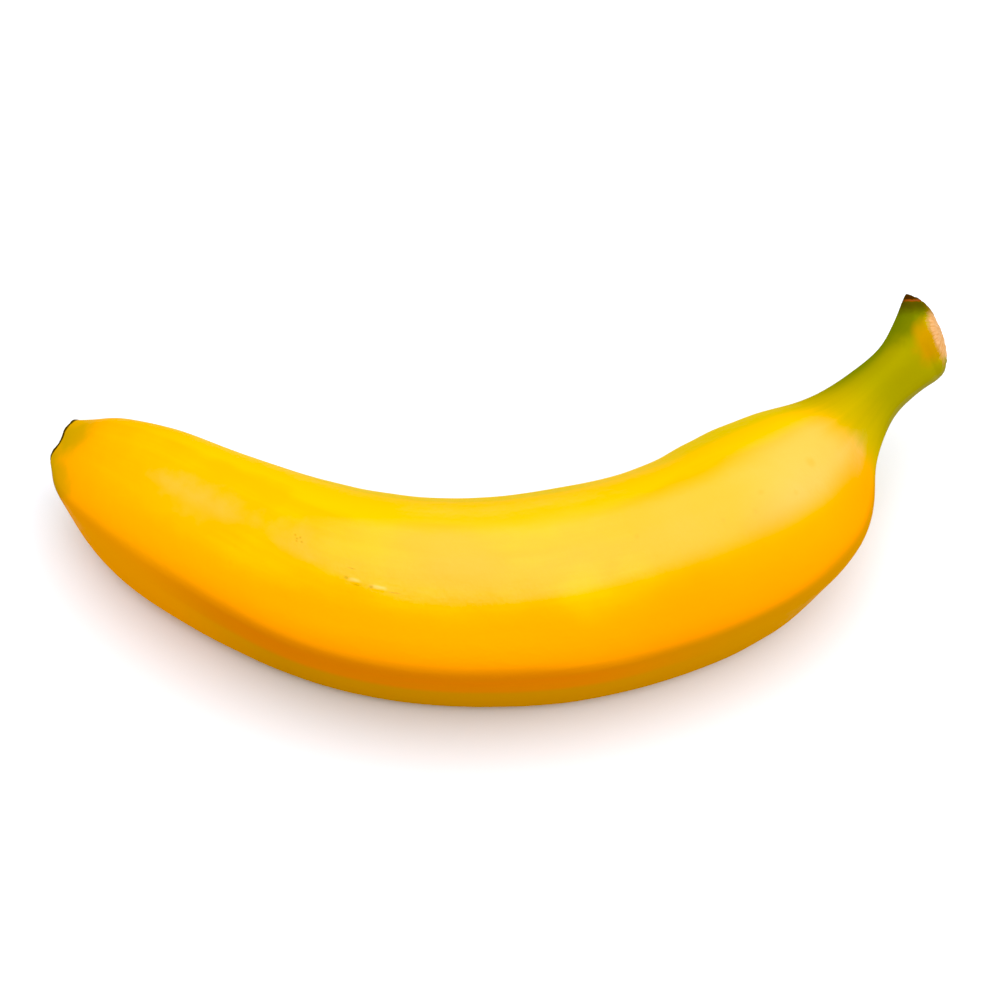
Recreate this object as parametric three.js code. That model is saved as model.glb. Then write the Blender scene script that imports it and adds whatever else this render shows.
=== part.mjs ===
// A whole banana in its skin, lying on its side. Millimetres, +Z up. The fruit bends in the XY
// plane: blossom end at -X, stem at +X, hollow side towards +Y, flat spot on the floor at Z = 0.
import * as THREE from 'three';

// Driving dimensions
const rings = 78;             // rings of skin from the blossom scar to the stem's cut
const sides = 48;             // skin facets round each ring
const ridgeCrispness = 9;     // how sharply the flats of the skin meet; 2 is a circle
const scarBulge = 0.8;        // the blossom scar swells out by this much
const scarSlant = -10;        // degrees that the scar is turned towards the outer side
const scarRun = 10;           // length over which the skin takes up that slant
const cutBulge = 3.6;         // the stem's cut face swells out by this much
const cutSlant = 40;          // degrees that the cut is turned towards the outer side
const cutTilt = 18;           // degrees that the cut looks up
const cutRun = 21;            // length over which the stem takes up the cut's slant and tilt
const endSteps = 5;           // rings on each rounded end face

// The five flats of the skin, as angles from straight up (0) over the outer side (90) to straight
// down (180), with each flat's distance from the middle as a share of the half width there. The
// sixth rounds off the ridge between the two upper ones.
const flats = [
  { angle: 24, distance: 1 },
  { angle: 99, distance: 1 },
  { angle: 177, distance: 0.98 },
  { angle: 239, distance: 1 },
  { angle: 302, distance: 1 },
  { angle: 342, distance: 1.13 },
];

// Stations from the blossom scar to the stem's cut: the middle of the section, its half width
// across the bend, its half height, and the degrees by which its flats are twisted
const stations = [
  { x: -78.9, y: 13.1, z: 13.2, halfWidth: 5.3, halfHeight: 5, twist: 0 },
  { x: -76.3, y: 10.8, z: 13.6, halfWidth: 7.1, halfHeight: 7, twist: 0 },
  { x: -71.5, y: 6.5, z: 14.6, halfWidth: 10.4, halfHeight: 11.2, twist: -3 },
  { x: -64, y: 0.9, z: 15.6, halfWidth: 13.1, halfHeight: 14.4, twist: -5 },
  { x: -50.3, y: -7.7, z: 16.6, halfWidth: 14.9, halfHeight: 16.4, twist: -3 },
  { x: -29.7, y: -17.2, z: 17, halfWidth: 16.6, halfHeight: 17.5, twist: 4 },
  { x: -15.2, y: -20.4, z: 17, halfWidth: 17.2, halfHeight: 17.7, twist: 5 },
  { x: -0.7, y: -20.8, z: 17, halfWidth: 17.6, halfHeight: 17.8, twist: 5 },
  { x: 11.1, y: -19.4, z: 17, halfWidth: 18, halfHeight: 17.9, twist: 4 },
  { x: 26.2, y: -15.6, z: 17, halfWidth: 17.9, halfHeight: 17.8, twist: 3 },
  { x: 36.5, y: -11.2, z: 17.1, halfWidth: 17.8, halfHeight: 17.6, twist: 4 },
  { x: 44.1, y: -6, z: 17.2, halfWidth: 17.7, halfHeight: 17, twist: 6 },
  { x: 50.9, y: 0.5, z: 17.4, halfWidth: 16.2, halfHeight: 15.4, twist: 9 },
  { x: 55.8, y: 6.1, z: 17.8, halfWidth: 13, halfHeight: 12.5, twist: 12 },
  { x: 61.1, y: 12.2, z: 18.6, halfWidth: 8.4, halfHeight: 8.7, twist: 17 },
  { x: 67.6, y: 19.2, z: 20, halfWidth: 5.3, halfHeight: 6.2, twist: 22 },
  { x: 73.4, y: 24.6, z: 21.4, halfWidth: 5.1, halfHeight: 6.4, twist: 22 },
  { x: 77.8, y: 30.6, z: 22.6, halfWidth: 7.3, halfHeight: 7.2, twist: 22 },
];

// Distance of each station along the spine
const places = [0];
for (let i = 1; i < stations.length; i += 1) {
  const step = Math.hypot(stations[i].x - stations[i - 1].x, stations[i].y - stations[i - 1].y);
  places.push(places[i - 1] + step);
}
const spineLength = places[places.length - 1];
const pitch = spineLength / rings;

// Any of the stations' columns at any place along the spine, on a smooth curve
const columns = Object.keys(stations[0]);
const rows = stations.flatMap((station) => columns.map((column) => station[column]));
const curve = new THREE.CubicInterpolant(places, rows, columns.length);

function sectionAt(along) {
  const values = curve.evaluate(along);
  return Object.fromEntries(columns.map((column, i) => [column, values[i]]));
}

// The section at each ring, with the direction it faces and the two directions across it
function frameAt(ring) {
  const section = sectionAt(ring * pitch);
  const before = sectionAt(Math.max(ring - 1, 0) * pitch);
  const after = sectionAt(Math.min(ring + 1, rings) * pitch);
  const forward = new THREE.Vector3(after.x - before.x, after.y - before.y, after.z - before.z);
  forward.normalize();
  const outward = new THREE.Vector3(forward.y, -forward.x, 0).normalize();
  const upward = new THREE.Vector3().crossVectors(outward, forward);

  const nearScar = Math.max(0, 1 - (ring * pitch) / scarRun) ** 2;
  const nearCut = Math.max(0, 1 - (spineLength - ring * pitch) / cutRun) ** 2;
  const slant = THREE.MathUtils.degToRad(scarSlant * nearScar + cutSlant * nearCut);
  const tilt = THREE.MathUtils.degToRad(cutTilt * nearCut);
  const facing = forward.clone();
  facing.addScaledVector(outward, Math.tan(slant));
  facing.addScaledVector(upward, Math.tan(tilt));
  facing.normalize();
  outward.addScaledVector(facing, -outward.dot(facing)).normalize();
  upward.crossVectors(outward, facing);

  const middle = new THREE.Vector3(section.x, section.y, section.z);
  return { section, middle, facing, outward, upward };
}

const frames = Array.from({ length: rings + 1 }, (unused, ring) => frameAt(ring));

// Distance of the skin from the middle at an angle, as a share of the half width there: the flats
// blended into one another over rounded ridges
function skinShare(angle, twist) {
  let total = 0;
  for (const flat of flats) {
    const turned = THREE.MathUtils.degToRad(flat.angle + twist);
    total += Math.max(0, Math.cos(angle - turned) / flat.distance) ** ridgeCrispness;
  }
  return total ** (-1 / ridgeCrispness);
}

// Moves a point of the straight blank, of radius 1 and standing on Y, to its place on the fruit
function bendPoint(point) {
  const along = THREE.MathUtils.clamp(point.y, 0, spineLength);
  const beyondEnd = point.y - along;
  const angle = Math.atan2(point.x, point.z);
  const { section, middle, facing, outward, upward } = frames[Math.round(along / pitch)];
  const reach = Math.hypot(point.x, point.z) * skinShare(angle, section.twist);
  point.copy(middle);
  point.addScaledVector(outward, reach * section.halfWidth * Math.sin(angle));
  point.addScaledVector(upward, reach * section.halfHeight * Math.cos(angle));
  point.addScaledVector(facing, beyondEnd);
  point.z = Math.max(point.z, 0);
}

// Outline of the straight blank, from the axis at the scar to the axis at the cut
function blankOutline() {
  const outline = [];
  for (let step = 0; step < endSteps; step += 1) {
    const turn = ((step / endSteps) * Math.PI) / 2;
    outline.push(new THREE.Vector2(Math.sin(turn), -scarBulge * Math.cos(turn)));
  }
  for (let ring = 0; ring <= rings; ring += 1) {
    outline.push(new THREE.Vector2(1, ring * pitch));
  }
  for (let step = endSteps - 1; step >= 0; step -= 1) {
    const turn = ((step / endSteps) * Math.PI) / 2;
    outline.push(new THREE.Vector2(Math.sin(turn), spineLength + cutBulge * Math.cos(turn)));
  }
  return outline;
}

// The blank bent to the fruit's shape, with the origin on the floor under the middle of its box
function bananaGeometry() {
  const geometry = new THREE.LatheGeometry(blankOutline(), sides);
  const position = geometry.attributes.position;
  const point = new THREE.Vector3();
  for (let i = 0; i < position.count; i += 1) {
    point.fromBufferAttribute(position, i);
    bendPoint(point);
    position.setXYZ(i, point.x, point.y, point.z);
  }
  geometry.computeBoundingBox();
  const center = geometry.boundingBox.getCenter(new THREE.Vector3());
  geometry.translate(-center.x, -center.y, 0);
  geometry.computeVertexNormals();
  return geometry;
}

const skin = new THREE.MeshStandardMaterial({ color: 0xf5b80c, roughness: 0.4, metalness: 0 });
const banana = new THREE.Mesh(bananaGeometry(), skin);
banana.name = 'banana';

const fruit = new THREE.Group();
fruit.add(banana);

export default fruit;
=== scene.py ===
import math
import bpy
from mathutils import Matrix, Vector


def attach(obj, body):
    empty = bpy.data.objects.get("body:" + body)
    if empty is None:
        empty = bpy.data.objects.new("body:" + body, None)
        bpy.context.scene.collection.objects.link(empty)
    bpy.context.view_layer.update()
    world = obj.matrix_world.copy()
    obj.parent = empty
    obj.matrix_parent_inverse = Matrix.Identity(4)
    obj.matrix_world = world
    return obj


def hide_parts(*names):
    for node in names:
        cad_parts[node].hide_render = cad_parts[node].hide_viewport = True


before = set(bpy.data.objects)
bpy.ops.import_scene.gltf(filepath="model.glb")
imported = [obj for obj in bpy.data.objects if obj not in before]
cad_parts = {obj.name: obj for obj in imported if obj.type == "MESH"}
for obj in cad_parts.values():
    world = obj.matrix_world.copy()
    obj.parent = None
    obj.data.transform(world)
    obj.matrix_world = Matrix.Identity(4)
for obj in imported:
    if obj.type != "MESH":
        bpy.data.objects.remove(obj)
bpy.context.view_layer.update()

mm = 0.001
bpy.ops.object.select_all(action="DESELECT")      # the loaded nodes come in selected


# the fruit's shape, as rings of skin along a bent spine

bananaShape = {
    # middle x, y, z, half width, half height (mm) and twist (degrees), from scar to cut
    "stations": [
        (-79.0, 14.0, 13.2, 5.3, 5.0, 0),
        (-76.4, 11.7, 13.6, 7.1, 7.0, 0),
        (-71.6, 7.4, 14.6, 10.4, 11.2, -3),
        (-64.1, 1.8, 15.6, 13.1, 14.4, -5),
        (-50.4, -6.8, 16.6, 14.9, 16.4, -3),
        (-29.8, -16.3, 17.0, 16.6, 17.5, 4),
        (-15.3, -19.5, 17.0, 17.2, 17.7, 5),
        (-0.8, -19.9, 17.0, 17.6, 17.8, 5),
        (11.0, -18.5, 17.0, 18.0, 17.9, 4),
        (26.1, -14.6, 17.0, 17.8, 17.8, 3),
        (36.4, -10.3, 17.1, 17.8, 17.7, 4),
        (44.3, -5.2, 17.2, 17.7, 17.3, 6),
        (50.8, 1.1, 17.4, 16.2, 15.2, 9),
        (55.8, 7.0, 17.8, 13.0, 12.7, 12),
        (61.2, 13.2, 18.6, 8.1, 9.0, 18),
        (67.5, 20.1, 20.0, 5.3, 6.2, 22),
        (73.3, 25.5, 21.4, 5.1, 6.4, 22),
        (77.7, 31.5, 22.6, 7.3, 7.2, 22),
    ],
    # the five flats of the skin: degrees from the top over the outer side, share of the half width
    # (the sixth rounds off the ridge on top)
    "flats": [(24, 1.0), (99, 1.0), (177, 0.98), (239, 1.0), (302, 1.0), (342, 1.13)],
    "crispness": 9,                               # 2 is a round section, more makes sharper ridges
    "rings": 78,
    "sides": 48,
    "scarSlant": -10, "scarRun": 10,              # how the scar's face is turned
    "cutSlant": 40, "cutTilt": 18, "cutRun": 21,  # how the stem's cut is turned
    # rings of the end faces: share of the rim's size and height over the rim (mm)
    "cutFace": [(0.985, 0.25), (0.95, 0.95), (0.89, 1.55), (0.81, 2.1), (0.7, 2.55),
                (0.58, 2.95), (0.45, 3.2), (0.3, 3.42), (0.14, 3.55)],
    "scarFace": [(0.96, 0.3), (0.86, 0.35), (0.76, -0.15), (0.62, -0.5), (0.46, -0.4),
                 (0.3, 0.1), (0.2, 0.25), (0.1, 0.3)],
    "leastTurn": 0.00001,                         # radians; less than this has no clear axis
    "weld": 0.01,                                 # points nearer than this (mm) become one
    "rounding": 2,                                # levels of subdivision
}


def stationPlaces():              # distance of every station along the spine, seen from above
    rows = bananaShape["stations"]
    places = [0.0]
    for a, b in zip(rows, rows[1:]):
        places.append(places[-1] + math.hypot(b[0] - a[0], b[1] - a[1]))
    return places


places = stationPlaces()
spineLength = places[-1]
pitch = spineLength / bananaShape["rings"]


def sectionAt(along):             # the stations' columns anywhere on a smooth curve
    rows = bananaShape["stations"]
    last = len(rows) - 1
    i = max(k for k in range(last) if places[k] <= along or k == 0)
    gap = places[i + 1] - places[i]
    t = (along - places[i]) / gap

    def slope(k, column):         # the mean of the slopes on either side
        sides = [(rows[b][column] - rows[b - 1][column]) / (places[b] - places[b - 1])
                 for b in (k, k + 1) if 0 < b <= last]
        return gap * sum(sides) / len(sides)

    return [
        (2 * t**3 - 3 * t**2 + 1) * rows[i][c] + (t**3 - 2 * t**2 + t) * slope(i, c)
        + (3 * t**2 - 2 * t**3) * rows[i + 1][c] + (t**3 - t**2) * slope(i + 1, c)
        for c in range(len(rows[i]))
    ]


def skinShare(angle):             # distance of the skin at an angle, as a share of the half width
    crisp = bananaShape["crispness"]
    total = 0
    for flat, distance in bananaShape["flats"]:
        total += max(0, math.cos(angle - math.radians(flat)) / distance) ** crisp
    return total ** (-1 / crisp)


class Ring:                       # where one ring of the skin sits and how it is turned
    def __init__(self, number):
        shape = bananaShape
        along = number * pitch
        x, y, z, wide, high, twist = sectionAt(along)
        before = sectionAt(max(number - 1, 0) * pitch)
        after = sectionAt(min(number + 1, shape["rings"]) * pitch)
        forward = Vector([b - a for a, b in zip(before[:3], after[:3])]).normalized()
        outward = Vector((forward.y, -forward.x, 0)).normalized()
        upward = outward.cross(forward)
        nearScar = max(0, 1 - along / shape["scarRun"]) ** 2
        nearCut = max(0, 1 - (spineLength - along) / shape["cutRun"]) ** 2
        slant = math.radians(shape["scarSlant"] * nearScar + shape["cutSlant"] * nearCut)
        tilt = math.radians(shape["cutTilt"] * nearCut)
        facing = (forward + outward * math.tan(slant) + upward * math.tan(tilt)).normalized()
        outward = (outward - facing * outward.dot(facing)).normalized()
        upward = outward.cross(facing)
        turn = Matrix.Rotation(math.radians(twist), 3, facing)
        self.along = along
        self.middle = Vector((x, y, z)) * mm
        self.size = (wide * mm, high * mm, 1)
        self.facing = facing
        self.axes = (-outward, upward, facing)
        self.twistedAxes = tuple(turn @ axis for axis in self.axes)


def setMode(mode):
    bpy.ops.object.mode_set(mode=mode)


def selectPoints(piece, wanted):  # in edit mode, only the points that the test names
    setMode("EDIT")
    bpy.ops.mesh.select_all(action="DESELECT")
    setMode("OBJECT")
    for point in piece.data.vertices:
        point.select = bool(wanted(point))
    setMode("EDIT")


def resizeIn(axes, value, middle):
    bpy.ops.transform.resize(value=value, orient_type="GLOBAL", orient_matrix=axes,
                             orient_matrix_type="GLOBAL", center_override=middle)


def turnAbout(axis, angle, middle):
    side = axis.orthogonal().normalized()
    bpy.ops.transform.rotate(value=angle, orient_axis="Z", orient_type="GLOBAL",
                             orient_matrix=(side, axis.cross(side), axis),
                             orient_matrix_type="GLOBAL",
                             constraint_axis=(False, False, True), center_override=middle)


def pullRing(old, new):           # the selected ring is extruded to the next ring's place
    bpy.ops.mesh.extrude_region_move(TRANSFORM_OT_translate={"value": new.middle - old.middle})
    resizeIn(old.axes, [1 / v for v in old.size], new.middle)
    swing = Matrix(new.twistedAxes).transposed() @ Matrix(old.twistedAxes)
    axis, angle = swing.to_quaternion().to_axis_angle()
    if angle > bananaShape["leastTurn"]:
        turnAbout(axis, angle, new.middle)
    resizeIn(new.axes, new.size, new.middle)
    bpy.ops.mesh.attribute_set(value_float=new.along * mm)


def pullFace(ring, steps, sign):  # the selected end ring is drawn in to close the end
    share, lift, run = 1, 0, 0
    for nextShare, nextLift in steps:
        bpy.ops.mesh.extrude_region_move(
            TRANSFORM_OT_translate={"value": ring.facing * sign * (nextLift - lift) * mm})
        middle = ring.middle + ring.facing * sign * nextLift * mm
        bpy.ops.transform.resize(value=(nextShare / share,) * 3, center_override=middle)
        radius = (ring.size[0] + ring.size[1]) / 2 / mm
        run += math.hypot(nextLift - lift, radius * (share - nextShare))
        bpy.ops.mesh.attribute_set(value_float=(ring.along + sign * run) * mm)
        share, lift = nextShare, nextLift
    bpy.ops.mesh.extrude_region_move(TRANSFORM_OT_translate={"value": (0, 0, 0)})
    bpy.ops.mesh.merge(type="CENTER")
    bpy.ops.mesh.attribute_set(value_float=(ring.along + sign * (run + share * radius)) * mm)


def makeSkin():
    sides = bananaShape["sides"]
    rings = [Ring(number) for number in range(bananaShape["rings"] + 1)]
    first, last = rings[0], rings[-1]
    bpy.ops.mesh.primitive_circle_add(
        vertices=sides, radius=1, fill_type="NOTHING", location=first.middle,
        rotation=Matrix(first.twistedAxes).transposed().to_euler())
    skin = bpy.context.object
    skin.name = "bananaSkin"
    bpy.ops.object.transform_apply(location=True, rotation=True, scale=True)
    skin.data.attributes.new("around", "FLOAT_VECTOR", "POINT")
    skin.data.attributes.new("along", "FLOAT", "POINT")
    for k, item in enumerate(skin.data.attributes["around"].data):
        angle = 2 * math.pi * k / sides
        item.vector = (math.sin(angle), math.cos(angle), 0)
    skin.data.attributes.active = skin.data.attributes["along"]
    for k in range(sides):        # the circle is pressed to the five flats
        selectPoints(skin, lambda point: point.index == k)
        share = skinShare(2 * math.pi * k / sides)
        bpy.ops.transform.resize(value=(share,) * 3, center_override=first.middle)
    bpy.ops.mesh.select_all(action="SELECT")
    resizeIn(first.axes, first.size, first.middle)
    for old, new in zip(rings, rings[1:]):
        pullRing(old, new)
    pullFace(last, bananaShape["cutFace"], 1)
    selectPoints(skin, lambda point: point.index < sides)
    pullFace(first, bananaShape["scarFace"], -1)
    bpy.ops.mesh.select_all(action="SELECT")
    bpy.ops.mesh.remove_doubles(threshold=bananaShape["weld"] * mm)
    bpy.ops.mesh.normals_make_consistent(inside=False)
    setMode("OBJECT")
    print("skin drawn out,", len(skin.data.vertices), "points")
    return skin


skin = makeSkin()


# rough ends, gentle unevenness of the skin and its small scratches

roughEnds = {
    # places on the skin (mm from the scar, degrees), the push that they get and its reach (mm)
    "notch": {"at": (0, 24), "push": (0.45, -0.2, 0), "reach": 3.0},
    "scarTop": {"at": (0, -62), "push": (-0.8, -0.15, 0), "reach": 4.0},
    "scarBack": {"at": (7, -62), "push": (0, 0.45, 0.1), "reach": 8.0},
    "tip": {"at": (spineLength, -86), "push": (-0.35, 1.15, 0.5), "reach": 3.4},
    "tipSide": {"at": (spineLength + 0.5, -108), "push": (-0.8, 0.35, 0.1), "reach": 2.4},
    "shoulder": {"at": (spineLength + 2.5, -62), "push": (0.85, 0.6, 0.25), "reach": 4.2},
}
degreesLikeMm = 10                # degrees that count as a millimetre when a place is looked up
skinRelief = {
    # noise over the whole skin: its size in metres and strength in mm
    "soft": {"size": 0.050, "strength": 0.3, "depth": 1},
    "fine": {"size": 0.008, "strength": 0.13, "depth": 1},
}
frayed = {
    # the same for the rough faces of the two ends
    "cut": {"size": 0.0011, "strength": 0.55, "depth": 2},
    "scar": {"size": 0.0014, "strength": 0.5, "depth": 2},
}
cutFrom = spineLength + 1.6       # mm from the scar where the cut's rough face starts
scarTo = 0.4                      # and where the scar's ends
welts = {
    # small raised scratches: start and end on the skin (mm, degrees) and height (mm)
    "lines": [((63.9, 18.2), (65.4, 20.4), 0.07), ((67.8, 20.6), (69.5, 21.6), 0.07)],
    "patch": (2.6, 7), "cuts": 2,      # the skin divided finely round each (mm, degrees)
    "degree": 0.3,                     # a degree on the skin there (mm)
    "halfWidth": 0.12, "reach": 0.55,  # of the lifted line, and of the slopes round it (mm)
}


def angleGap(a, b):
    return abs((a - b + 180) % 360 - 180)


def skinPlaces(skin):             # every point's place on the skin: mm from the scar and degrees
    along = skin.data.attributes["along"].data
    around = skin.data.attributes["around"].data
    return [(along[k].value / mm,
             math.degrees(math.atan2(around[k].vector[0], around[k].vector[1])))
            for k in range(len(skin.data.vertices))]


def pushSkin(skin, at, push, reach):
    spots = skinPlaces(skin)
    nearest = min(range(len(spots)), key=lambda k: math.hypot(
        spots[k][0] - at[0], angleGap(spots[k][1], at[1]) / degreesLikeMm))
    selectPoints(skin, lambda point: point.index == nearest)
    bpy.ops.transform.translate(value=Vector(push) * mm, use_proportional_edit=True,
                                proportional_edit_falloff="SMOOTH", proportional_size=reach * mm)
    setMode("OBJECT")


def groupPoints(skin, name, wanted):
    spots = skinPlaces(skin)
    skin.vertex_groups.new(name=name)
    selectPoints(skin, lambda point: wanted(spots[point.index]))
    bpy.ops.object.vertex_group_assign()
    setMode("OBJECT")


def addClouds(skin, name, size, strength, depth, group=""):
    clouds = bpy.data.textures.new(name, "CLOUDS")
    clouds.noise_scale = size
    clouds.noise_depth = depth
    relief = skin.modifiers.new(name, "DISPLACE")
    relief.texture = clouds
    relief.texture_coords = "LOCAL"
    relief.strength = strength * mm
    relief.vertex_group = group
    bpy.context.view_layer.objects.active = skin
    bpy.ops.object.modifier_apply(modifier=name)


def raiseWelt(skin, start, end, height):
    # the skin is divided finely round the scratch, then its middle line is lifted
    middle = [(a + b) / 2 for a, b in zip(start, end)]
    halfLength, halfTurn = welts["patch"]
    spots = skinPlaces(skin)
    selectPoints(skin, lambda point: abs(spots[point.index][0] - middle[0]) < halfLength
                 and angleGap(spots[point.index][1], middle[1]) < halfTurn)
    bpy.ops.mesh.subdivide(number_cuts=welts["cuts"], smoothness=1)
    setMode("OBJECT")
    spots = skinPlaces(skin)
    line = Vector((end[0] - start[0], (end[1] - start[1]) * welts["degree"]))

    def onLine(point):
        spot = spots[point.index]
        to = Vector((spot[0] - start[0], (spot[1] - start[1]) * welts["degree"]))
        share = to.dot(line) / line.length_squared
        return 0 <= share <= 1 and (to - line * share).length < welts["halfWidth"]

    selectPoints(skin, onLine)
    bpy.ops.transform.translate(
        value=(0, 0, height * mm), use_proportional_edit=True,
        proportional_edit_falloff="SMOOTH", proportional_size=welts["reach"] * mm)
    setMode("OBJECT")


def finishSkin(skin):
    for place in roughEnds.values():
        pushSkin(skin, **place)
    rounding = skin.modifiers.new("rounding", "SUBSURF")
    rounding.levels = rounding.render_levels = bananaShape["rounding"]
    bpy.ops.object.modifier_apply(modifier="rounding")
    for name, relief in skinRelief.items():
        addClouds(skin, name, **relief)
    groupPoints(skin, "cut", lambda spot: spot[0] > cutFrom)
    groupPoints(skin, "scar", lambda spot: spot[0] < scarTo)
    for name, relief in frayed.items():
        addClouds(skin, name, **relief, group=name)
    for start, end, height in welts["lines"]:
        raiseWelt(skin, start, end, height)
    selectPoints(skin, lambda point: point.co.z < 0)
    bpy.ops.transform.resize(value=(1, 1, 0), center_override=(0, 0, 0))
    bpy.ops.mesh.select_all(action="SELECT")
    bpy.ops.mesh.normals_make_consistent(inside=False)
    setMode("OBJECT")
    bpy.ops.object.shade_smooth()


finishSkin(skin)
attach(skin, "root")
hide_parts("banana")
print("skin finished,", len(skin.data.polygons), "faces")


# materials

class Wire:                       # one output of a node, ready for sums
    def __init__(self, recipe, socket):
        self.recipe = recipe
        self.socket = socket

    def sum(self, operation, first, second):
        return self.recipe.node("ShaderNodeMath", {"operation": operation}, {0: first, 1: second})

    def __add__(self, other):
        return self.sum("ADD", self, other)

    def __radd__(self, other):
        return self.sum("ADD", other, self)

    def __sub__(self, other):
        return self.sum("SUBTRACT", self, other)

    def __rsub__(self, other):
        return self.sum("SUBTRACT", other, self)

    def __mul__(self, other):
        return self.sum("MULTIPLY", self, other)

    def __rmul__(self, other):
        return self.sum("MULTIPLY", other, self)

    def __truediv__(self, other):
        return self.sum("DIVIDE", self, other)

    def __rtruediv__(self, other):
        return self.sum("DIVIDE", other, self)


class Recipe:                     # the nodes of one material
    def __init__(self, name):
        self.material = bpy.data.materials.new(name)
        self.material.use_nodes = True
        self.tree = self.material.node_tree
        self.shader = self.tree.nodes["Principled BSDF"]

    def node(self, kind, settings=None, values=None, output=0):
        made = self.tree.nodes.new(kind)
        for setting, value in (settings or {}).items():
            setattr(made, setting, value)
        for place, value in (values or {}).items():
            self.feed(made.inputs[place], value)
        return Wire(self, made.outputs[output])

    def feed(self, socket, value):
        if isinstance(value, Wire):
            self.tree.links.new(value.socket, socket)
        elif socket.type == "RGBA":
            socket.default_value = (*value, 1)
        else:
            socket.default_value = value

    def fade(self, value, low, high):
        # 0 below low, 1 above high, or the other way round when low is the larger
        return self.node("ShaderNodeMapRange", {"interpolation_type": "SMOOTHSTEP"},
                         {"Value": value, "From Min": low, "From Max": high})

    def band(self, value, low, high, soft):
        # 1 between low and high, fading over the soft width on either side
        return self.fade(value, low - soft, low + soft) * self.fade(value, high + soft, high - soft)

    def mix(self, share, under, over):
        return self.node("ShaderNodeMix", {"data_type": "RGBA"}, {0: share, 6: under, 7: over}, 2)

    def noise(self, vector, scale, detail, roughness=0.5):
        return self.node("ShaderNodeTexNoise", {}, {
            "Vector": vector, "Scale": scale, "Detail": detail, "Roughness": roughness})

    def join(self, x, y, z):
        return self.node("ShaderNodeCombineXYZ", {}, {0: x, 1: y, 2: z})

    def part(self, vector, axis):
        return self.node("ShaderNodeSeparateXYZ", {}, {0: vector}, axis)


skinLook = {
    # ripe skin, and the painted shade and painted sheen laid over it
    "yellow": (0.94, 0.45, 0.008),
    "deepYellow": (0.94, 0.385, 0.005),
    # laid on the outer side as painted shade, and towards the scar end
    "orange": (0.93, 0.33, 0.003),
    "amber": (0.93, 0.275, 0.003),
    # darker colours of the painted shade on the lower side
    "undersideShade": (0.57, 0.222, 0.002),
    "warmUndersideShade": (0.80, 0.27, 0.003),
    # darkest painted shade, just under the lower ridge
    "ridge": (0.73, 0.165, 0.002),
    # pale colour of the painted sheen
    "paintedSheen": (0.95, 0.45, 0.09),
    "greenYellow": (0.60, 0.42, 0.004),
    # towards the stem
    "neck": (0.50, 0.33, 0.003),
    "lime": (0.305, 0.257, 0.003),
    "darkGreen": (0.12, 0.15, 0.003),
    "stemEdge": (0.25, 0.205, 0.05),
    "stemOrange": (0.48, 0.225, 0.004),
    "stemPale": (0.46, 0.36, 0.035),
    # ends
    "cut": (0.58, 0.26, 0.09),
    "cutPale": (0.70, 0.38, 0.17),
    "cutRim": (0.42, 0.17, 0.02),
    "torn": (0.045, 0.010, 0.008),
    "tornStripe": (0.24, 0.05, 0.03),
    "darkOlive": (0.06, 0.04, 0.002),
    "olive": (0.42, 0.27, 0.003),
    "scar": (0.05, 0.018, 0.006),
    # marks
    # pale scratch colour, partly a painted highlight on the raised welts
    "paleNickAndGlint": (0.95, 0.60, 0.18),
    # colour of the dark specks and of the painted shadow lines under the nicks
    "speckBrownAndShadow": (0.44, 0.30, 0.01),
    "freckle": (0.80, 0.33, 0.02),
}
raggedEdge = {"scale": 400, "detail": 2}          # noise that makes the spots' edges uneven


class SkinRecipe(Recipe):         # a recipe that knows its way over the fruit
    def __init__(self, name):
        super().__init__(name)
        along = self.node("ShaderNodeAttribute", {"attribute_name": "along"}, {}, "Fac")
        around = self.node("ShaderNodeAttribute", {"attribute_name": "around"}, {}, "Vector")
        self.sine = self.part(around, 0)
        self.cosine = self.part(around, 1)
        self.length = along / mm                  # mm from the scar
        self.degrees = self.node("ShaderNodeMath", {"operation": "ARCTAN2"},
                                 {0: self.sine, 1: self.cosine}) * (180 / math.pi)
        self.place = self.node("ShaderNodeTexCoord", {}, {}, "Object")

    def fibres(self, stretch, spread, scale, detail, roughness):
        # noise drawn out along the fruit: mm to a step along it, and steps round it
        grain = self.join(self.length / stretch, self.sine * spread, self.cosine * spread)
        return self.noise(grain, scale, detail, roughness)

    def within(self, value, limits):
        # two limits fade in from the first to the second, three are a band and its soft edge
        return self.band(value, *limits) if len(limits) == 3 else self.fade(value, *limits)

    def vary(self, value, steps):
        # changes a value along the fruit: limits (mm from the scar) and the change there
        for limits, change in steps:
            value = value + self.within(self.length, limits) * change
        return value

    def zone(self, limits, length=None, degrees=None):
        # 1 inside a zone of the skin, by its limits along and round the fruit
        inside = self.within(length or self.length, limits["along"])
        if "round" in limits:
            inside = inside * self.within(degrees or self.degrees, limits["round"])
        return inside

    def spot(self, length, degrees, size, turn=0, soft=0.5, *, wobble):
        # 1 in an ellipse of half size (mm, degrees) at that place on the skin
        x = (self.length - length) / size[0]
        y = (self.degrees - degrees) / size[1]
        c, d = math.cos(math.radians(turn)), math.sin(math.radians(turn))
        reach = self.node("ShaderNodeVectorMath", {"operation": "LENGTH"},
                          {0: self.join(x * c + y * d, y * c - x * d, 0)}, "Value")
        reach = reach + (self.noise(self.place, **raggedEdge) - 0.5) * wobble
        return self.fade(reach, 1 + soft, 1 - soft)

    def layZone(self, colour, zone, length=None, degrees=None):
        return self.mix(self.zone(zone, length, degrees) * zone["share"], colour,
                        skinLook[zone["colour"]])

    def laySpots(self, colour, spots):
        for at in spots["at"]:
            inside = self.spot(*at, **spots["edge"])
            colour = self.mix(inside * spots["share"], colour, skinLook[spots["colour"]])
        return colour


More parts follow.
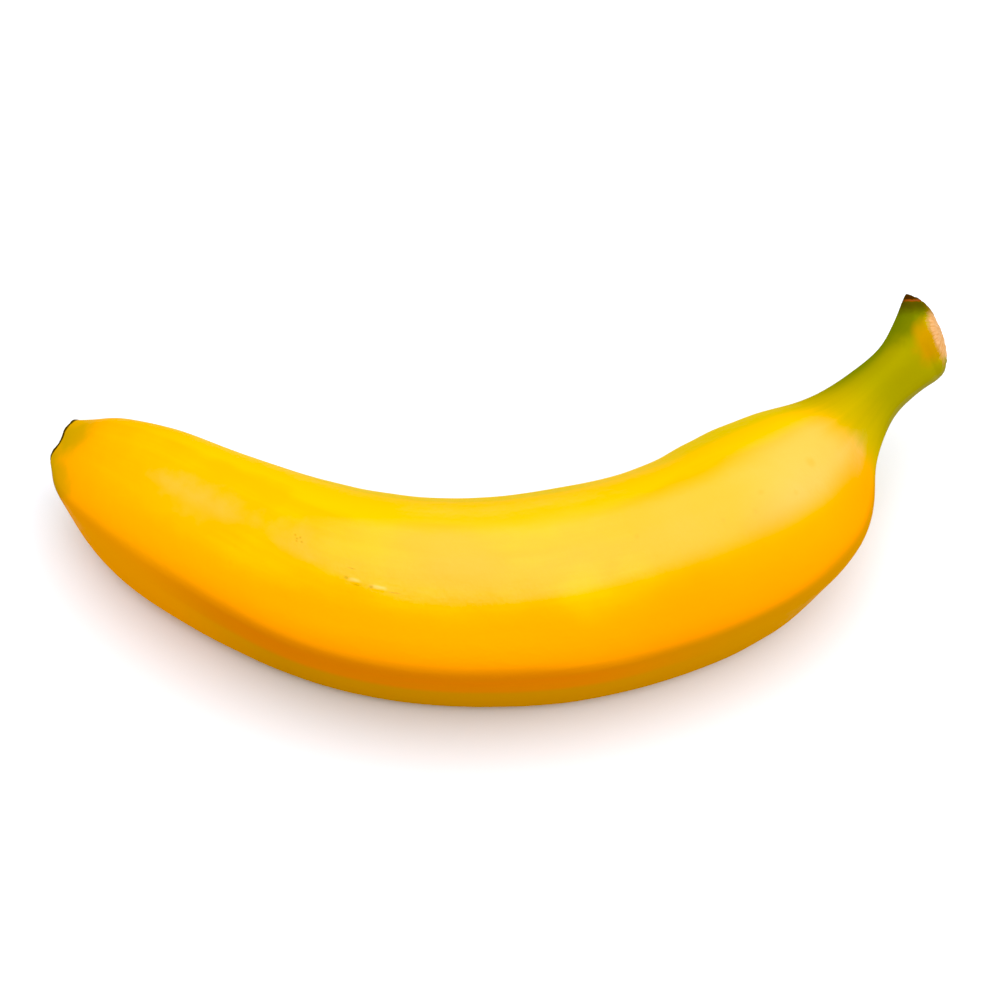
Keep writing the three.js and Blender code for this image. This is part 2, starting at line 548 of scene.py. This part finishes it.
fleshPaint = {
    # along: mm from the scar; round: degrees from the top over the outer side; share: how much of
    # the colour is laid on
    "patches": {"scale": 55, "detail": 3},
    "streaks": {"stretch": 40, "spread": 7, "scale": 1, "detail": 3, "roughness": 0.6},
    "patchyEdge": 20, "streakyEdge": 5,           # degrees by which they move a zone's edge
    "deep": {"from": (0.55, 0.85), "streaks": 0.4, "lessRound": (-10, -32), "less": 0.5,
             "more": [((98, 122), 0.35), ((62, 38), 0.15)]},
    # painted shade: orange over the outer and lower sides, below the lit top
    "paintedFrontShade": {"start": 32, "soft": 12, "end": (178, 154),
              "shift": [((100, 135), -12), ((50, 35), 6), ((130, 147, 6), -10)]},
    # more orange towards the scar end
    "orangerNearScar": {"along": (34, 8), "share": 0.55, "colour": "orange"},
    # painted highlight: a pale patchy sheen on the top near the scar end
    "paintedHighlightPatch": {"at": (38, 17, (18, 15)), "edge": {"soft": 0.9, "wobble": 1.4},
             "patches": (0.3, 0.6), "share": 0.36},
    # painted shade: amber on the outer side towards the stem end
    "paintedShadeLowerRight": {"along": (80, 120), "round": (24, 52), "share": 0.8, "colour": "amber"},
    # painted shade: amber from just above the lower ridge downward, mid fruit
    "paintedShadeAboveRidge": {"along": (42, 96, 15), "round": (44, 62), "share": 0.7, "colour": "amber"},
    # painted shade: darker colour over the lower side, lighter and warmer towards the scar end
    "under": {"round": (62, 166, 5), "warmAlong": (58, 30),
              "shift": [((98, 124, 8), -4), ((128, 142), 5)]},
    # painted shade: darkest band just under the lower ridge
    "ridge": {"along": (40, 110, 16), "round": (62, 88, 6), "least": 0.5, "streaks": 0.5},
    # painted sheen along the top
    "paintedTopSheen": {"along": (60, 157, 22), "round": (-22, 12, 12), "least": 0.1, "patches": 0.4},
    # painted sheen on the bulb towards the neck
    "paintedSheen": {"along": (136, 162, 9), "round": (-20, 25, 12), "share": 0.75, "colour": "paintedSheen"},
    "rear": {"along": (8, 110, 10), "round": (-110, -50, 8), "share": 0.75,
             "colour": "greenYellow"},
    "behind": {"along": (80, 145), "round": (-160, -46, 14), "share": 0.9,
               "colour": "greenYellow"},
}


def paintFlesh(look):             # the yellow of the fruit's body, with painted shade on its outer and lower sides and painted sheen on top
    paint = fleshPaint
    patches = look.noise(look.place, **paint["patches"])
    streaks = look.fibres(**paint["streaks"])
    patchy = look.degrees + (patches - 0.5) * paint["patchyEdge"]
    streaky = look.degrees + (streaks - 0.5) * paint["streakyEdge"]

    zone = paint["deep"]
    deep = look.vary(patches + streaks * zone["streaks"], zone["more"])
    deep = deep - look.fade(look.degrees, *zone["lessRound"]) * zone["less"]
    colour = look.mix(look.fade(deep, *zone["from"]), skinLook["yellow"], skinLook["deepYellow"])

    # painted shade: the outer side below the lit top is laid orange
    zone = paint["paintedFrontShade"]
    start = look.vary(zone["start"], zone["shift"])
    paintedFrontShade = look.fade(patchy, start - zone["soft"], start + zone["soft"])
    colour = look.mix(paintedFrontShade * look.fade(look.degrees, *zone["end"]), colour, skinLook["orange"])
    colour = look.layZone(colour, paint["orangerNearScar"])

    # painted highlight, patchy, on the top near the scar end
    zone = paint["paintedHighlightPatch"]
    paintedHighlightPatch = look.spot(*zone["at"], **zone["edge"]) * look.fade(patches, *zone["patches"])
    colour = look.mix(paintedHighlightPatch * zone["share"], colour, skinLook["paintedSheen"])
    # painted shade: amber on the outer side towards the stem end
    colour = look.layZone(colour, paint["paintedShadeLowerRight"], degrees=patchy)
    # painted shade from just above the lower ridge downward
    colour = look.layZone(colour, paint["paintedShadeAboveRidge"], degrees=streaky)

    # painted shade over the lower side
    zone = paint["under"]
    fromEdge = look.vary(streaky, zone["shift"])
    under = look.mix(look.fade(look.length, *zone["warmAlong"]), skinLook["undersideShade"],
                     skinLook["warmUndersideShade"])
    colour = look.mix(look.band(fromEdge, *zone["round"]), colour, under)
    # painted shade, darkest just under the lower ridge
    zone = paint["ridge"]
    ridge = look.zone(zone, degrees=fromEdge) * (zone["least"] + streaks * zone["streaks"])
    colour = look.mix(ridge, colour, skinLook["ridge"])
    # painted sheen: the top is laid paler
    zone = paint["paintedTopSheen"]
    paintedTopSheen = look.zone(zone) * (zone["least"] + patches * zone["patches"])
    colour = look.mix(paintedTopSheen, colour, skinLook["paintedSheen"])
    for name in ("paintedSheen", "rear", "behind"):
        colour = look.layZone(colour, paint[name])
    return colour


stemPaint = {
    "streaks": {"stretch": 40, "spread": 7, "scale": 1.4, "detail": 3, "roughness": 0.6},
    "streakyMm": 3, "streakyDegrees": 20,         # how far they move a zone's edge
    "zones": [
        {"along": (151, 162), "share": 1, "colour": "neck"},
        {"along": (157, 173), "share": 1, "colour": "lime"},
        # painted shade: darker green over the upper back of the stem
        {"along": (155, 174), "round": (-170, -62, 22), "share": 0.9, "colour": "darkGreen"},
    ],
    "edge": {"along": (160, 172), "round": (50, 150, 12), "share": 0.8, "colour": "stemEdge"},
    "spots": [
        {"at": [(185, -60, (5.5, 42))], "edge": {"wobble": 0.5}, "share": 0.78,
         "colour": "darkGreen"},
        {"at": [(187.3, 0, (4.6, 32))], "edge": {"soft": 0.6, "wobble": 0.9}, "share": 0.9,
         "colour": "stemOrange"},
        {"at": [(188.8, -32, (1.6, 16))], "edge": {"wobble": 0.4}, "share": 0.7,
         "colour": "stemPale"},
    ],
}


def paintStem(look, colour):      # greens and browns from the neck to the cut
    paint = stemPaint
    streaks = look.fibres(**paint["streaks"]) - 0.5
    length = look.length + streaks * paint["streakyMm"]
    for zone in paint["zones"]:
        colour = look.layZone(colour, zone, length)
    degrees = look.degrees + streaks * paint["streakyDegrees"]
    colour = look.layZone(colour, paint["edge"], length, degrees)
    for spots in paint["spots"]:
        colour = look.laySpots(colour, spots)
    return colour


endPaint = {
    # the flesh on the cut face
    "threads": {"stretch": 3, "spread": 14, "scale": 1, "detail": 3, "roughness": 0.7},
    "paleThreads": (0.35, 0.65),
    "threadyRim": 1.6,                            # mm by which they move the rim
    "outerFlesh": {"along": (spineLength + 1.5, spineLength + 3.4), "round": (60, 34)},
    "flesh": {"along": (spineLength + 3.4, spineLength + 4.6)},
    "brownRim": {"along": (spineLength + 2.3, spineLength + 3.0, 0.3), "threads": (0.45, 0.65),
                 "share": 0.6},
    # the torn tip, by how far a place lies up and behind (mm)
    "lean": (0.866, 0.5),                         # what y and z add to that
    "ragged": {"scale": 900, "detail": 2}, "raggedMm": 0.9,
    "stemOnly": (spineLength - 12, spineLength - 10),
    "dusky": (41.8, 44.5), "duskyShare": 0.85,
    "stripe": (44.95, 45.15), "stripeAlong": (spineLength - 11, spineLength + 2.2, 0.6),
    "torn": (45.4, 45.6),
    "tornSide": {"at": [(spineLength - 0.5, -96, (1.0, 14))], "edge": {"wobble": 0.6}, "share": 1,
                 "colour": "torn"},
    # the blossom end
    "scarEnd": {"along": (11, 1), "share": 0.5, "colour": "olive"},
    # painted shade: dark olive along the lower edge near the scar
    "scarEndEdgeShade": {"at": [(5.5, 74, (4.5, 15))], "edge": {"wobble": 0.4}, "share": 0.45,
               "colour": "darkOlive"},
    "stains": {"at": [(4.2, 8, (4.5, 24)), (8, 56, (4, 13)), (5, -62, (11, 16)), (2, 85, (3, 40))],
               "edge": {"wobble": 0.8}, "share": 0.5, "colour": "olive"},
    "burnt": {"scale": 500, "detail": 2}, "burntMm": 1.2, "burntAlong": (0.65, 0.2),
}


def paintEnds(look, colour):
    paint = endPaint
    threads = look.fibres(**paint["threads"])
    flesh = look.mix(look.fade(threads, *paint["paleThreads"]), skinLook["cut"],
                     skinLook["cutPale"])
    rim = look.length + (threads - 0.5) * paint["threadyRim"]
    for name in ("outerFlesh", "flesh"):
        colour = look.mix(look.zone(paint[name], rim), colour, flesh)
    zone = paint["brownRim"]
    brown = look.zone(zone, rim) * look.fade(threads, *zone["threads"]) * zone["share"]
    colour = look.mix(brown, colour, skinLook["cutRim"])

    # the torn tip: dark at the very top, a reddish line under it, then dark olive
    y, z = look.part(look.place, 1), look.part(look.place, 2)
    height = (y * paint["lean"][0] + z * paint["lean"][1]) / mm
    height = height + (look.noise(look.place, **paint["ragged"]) - 0.5) * paint["raggedMm"]
    atStem = look.fade(look.length, *paint["stemOnly"])
    dusky = look.fade(height, *paint["dusky"]) * atStem * paint["duskyShare"]
    colour = look.mix(dusky, colour, skinLook["darkOlive"])
    striped = look.fade(height, *paint["stripe"]) * look.band(look.length, *paint["stripeAlong"])
    colour = look.mix(striped, colour, skinLook["tornStripe"])
    colour = look.mix(look.fade(height, *paint["torn"]) * atStem, colour, skinLook["torn"])
    colour = look.laySpots(colour, paint["tornSide"])

    colour = look.layZone(colour, paint["scarEnd"])
    # painted shade along the lower edge near the scar
    colour = look.laySpots(colour, paint["scarEndEdgeShade"])
    colour = look.laySpots(colour, paint["stains"])
    burnt = look.length + (look.noise(look.place, **paint["burnt"]) - 0.5) * paint["burntMm"]
    return look.mix(look.fade(burnt, *paint["burntAlong"]), colour, skinLook["scar"])


skinMarks = {
    # mm from the scar, degrees, half size (mm, degrees) and, for the nicks, their turn
    # pale scratch marks on the raised welts, partly painted highlight
    "nicksAndGlints": {"at": [(64.7, 19.4, (0.95, 0.9), 40), (68.6, 20.9, (1.1, 0.9), 15)],
              "edge": {"soft": 0.8, "wobble": 1.2}, "share": 0.45, "colour": "paleNickAndGlint"},
    # dark specks and a squiggle; the third and fourth are painted shadow lines under the two nicks
    "darkSpecksAndShadows": {"at": [(63.4, 19.0, (0.35, 0.9)), (67.5, 21.2, (0.3, 0.9)), (65.3, 21.8, (0.6, 0.4)),
                    (71.2, 22.4, (0.9, 0.4)), (63.9, 13.2, (0.6, 0.35)), (53.4, 5.4, (0.2, 0.6)),
                    (53.9, 6.9, (0.22, 0.6)), (54.4, 5.6, (0.2, 0.7)), (54.9, 7.6, (0.24, 0.6)),
                    (54.0, 8.3, (0.2, 0.5))],
             "edge": {"soft": 0.7, "wobble": 0.8}, "share": 0.75, "colour": "speckBrownAndShadow"},
    "freckles": {"at": [(146.2, 5, (0.7, 3.2)), (134.4, 4, (0.45, 1.2)), (131.8, 12, (0.35, 1.4)),
                        (126.4, 9, (0.3, 1.2)), (139.5, 14, (0.4, 1.5)), (111.5, 3, (0.35, 1.3)),
                        (45.0, 38, (0.4, 1.6)), (92.0, 46, (0.5, 1.5))],
                 "edge": {"soft": 0.8, "wobble": 0.8}, "share": 0.35, "colour": "freckle"},
}


def paintMarks(look, colour):     # the small scratches and specks, with painted highlights and painted shadows at the scratches
    for spots in skinMarks.values():
        colour = look.laySpots(colour, spots)
    return colour


waxLook = {
    "pores": {"scale": 1100, "detail": 2}, "poreHeight": 0.1,
    "swell": {"scale": 240, "detail": 3}, "swellHeight": 0.7, "swellRoughness": 0.12,
    "streaks": {"stretch": 40, "spread": 7, "scale": 2.5, "detail": 3, "roughness": 0.6},
    "streakHeight": 0.08,
    "bump": {"Strength": 0.35, "Distance": 0.0006},
    "waxy": {"IOR": 1.52}, "waxyRoughness": 0.27,
    "matte": {"Roughness": 0.6, "Specular IOR Level": 0.05},
    # the waxy part of the skin: its lower and upper limit (degrees), how soft they are, and how
    # they change along the fruit
    "lower": 28, "lowerShift": [((76, 52), -12), ((80, 98), -2), ((138, 152), 13)],
    "lowerSoft": 5, "lowerSofter": [((95, 125), 5)],
    "upper": -32, "upperShift": [((76, 52), 22), ((98, 120), 9)], "upperSoft": 14,
    "along": (20, 163, 6),
    "patches": {"scale": 70, "detail": 3}, "patchesMore": [((20, 95), 0.4)],
    "patchesFrom": (0.42, 0.72), "patchesLeast": 0.35,
    "wax": 0.40, "waxMore": [((50, 78), 0.2), ((142, 154), 0.1)],
    "behindTop": 0.72, "beyondTop": 0.7, "beyond": (-4, 20),      # more wax on the near side
}


def makeSkinLook():
    look = SkinRecipe("ripeSkin")
    wax = waxLook
    colour = paintMarks(look, paintEnds(look, paintStem(look, paintFlesh(look))))
    swell = look.noise(look.place, **wax["swell"])
    height = (look.noise(look.place, **wax["pores"]) * wax["poreHeight"]
              + swell * wax["swellHeight"] + look.fibres(**wax["streaks"]) * wax["streakHeight"])
    relief = look.node("ShaderNodeBump", {}, {**wax["bump"], "Height": height})
    waxy = look.node("ShaderNodeBsdfPrincipled", {}, {
        **wax["waxy"], "Base Color": colour, "Normal": relief,
        "Roughness": wax["waxyRoughness"] + swell * wax["swellRoughness"]})
    for socket, value in {**wax["matte"], "Base Color": colour, "Normal": relief}.items():
        look.feed(look.shader.inputs[socket], value)

    lower = look.vary(wax["lower"], wax["lowerShift"])
    lowerSoft = look.vary(wax["lowerSoft"], wax["lowerSofter"])
    upper = look.vary(wax["upper"], wax["upperShift"])
    sheen = (look.fade(look.degrees, upper - wax["upperSoft"], upper + wax["upperSoft"])
             * look.fade(look.degrees, lower + lowerSoft, lower - lowerSoft)
             * look.band(look.length, *wax["along"]))
    patches = look.vary(look.noise(look.place, **wax["patches"]), wax["patchesMore"])
    patchy = (wax["patchesLeast"]
              + look.fade(patches, *wax["patchesFrom"]) * (1 - wax["patchesLeast"]))
    amount = sheen * look.vary(wax["wax"], wax["waxMore"])
    amount = amount * (wax["behindTop"]
                       + look.fade(look.degrees, *wax["beyond"]) * wax["beyondTop"])
    both = look.node("ShaderNodeMixShader", {}, {
        0: amount * patchy, 1: Wire(look, look.shader.outputs[0]), 2: waxy})
    look.feed(look.tree.nodes["Material Output"].inputs["Surface"], both)
    return look.material


skin.data.materials.append(makeSkinLook())
print("skin painted")


# floor, light and camera

stageLook = {
    "floorSize": 6, "floorShade": 0.9, "floorRoughness": 0.9,
    "softbox": {"middle": (0.45, -0.05, 0.5), "turn": -13, "size": (1.9, 0.76), "radiance": 2.05},
    "sky": (0.9, 0.97, 1.1), "skyStrength": 0.45,
    "blackPoint": (0, 0, 0.045),                  # takes a little blue out of the dark tones
}

bpy.ops.mesh.primitive_plane_add(size=stageLook["floorSize"], location=(0, 0, 0))
floor = bpy.context.object
floor.name = "paleFloor"
paper = Recipe("palePaper")
paper.feed(paper.shader.inputs["Base Color"], (stageLook["floorShade"],) * 3)
paper.feed(paper.shader.inputs["Roughness"], stageLook["floorRoughness"])
floor.data.materials.append(paper.material)


def addSoftbox(name, middle, turn, size, radiance):
    bpy.ops.object.light_add(type="AREA", location=middle, rotation=(0, 0, math.radians(turn)))
    lamp = bpy.context.object
    lamp.name = name
    lamp.data.shape = "RECTANGLE"
    lamp.data.size, lamp.data.size_y = size
    lamp.data.energy = radiance * math.pi * size[0] * size[1]


addSoftbox("overheadSoftbox", **stageLook["softbox"])
world = bpy.data.worlds.new("dimRoom")
world.use_nodes = True
background = world.node_tree.nodes["Background"]
background.inputs["Color"].default_value = (*stageLook["sky"], 1)
background.inputs["Strength"].default_value = stageLook["skyStrength"]
bpy.context.scene.world = world

cameraPlace = {"target": (-0.1, 0, 17.5), "elevation": 60, "distance": 500, "lens": 100,
               "sensor": 36}
target = Vector(cameraPlace["target"]) * mm
elevation = math.radians(cameraPlace["elevation"])
away = Vector((0, -math.cos(elevation), math.sin(elevation))) * cameraPlace["distance"] * mm
bpy.ops.object.camera_add(location=target + away, rotation=(math.pi / 2 - elevation, 0, 0))
camera = bpy.context.object
camera.name = "mainCamera"
camera.data.lens = cameraPlace["lens"]
camera.data.sensor_width = cameraPlace["sensor"]
bpy.context.scene.camera = camera
view = bpy.context.scene.view_settings
view.view_transform = "Standard"
view.use_curve_mapping = True
view.curve_mapping.black_level = stageLook["blackPoint"]
view.curve_mapping.update()
print("stage set")
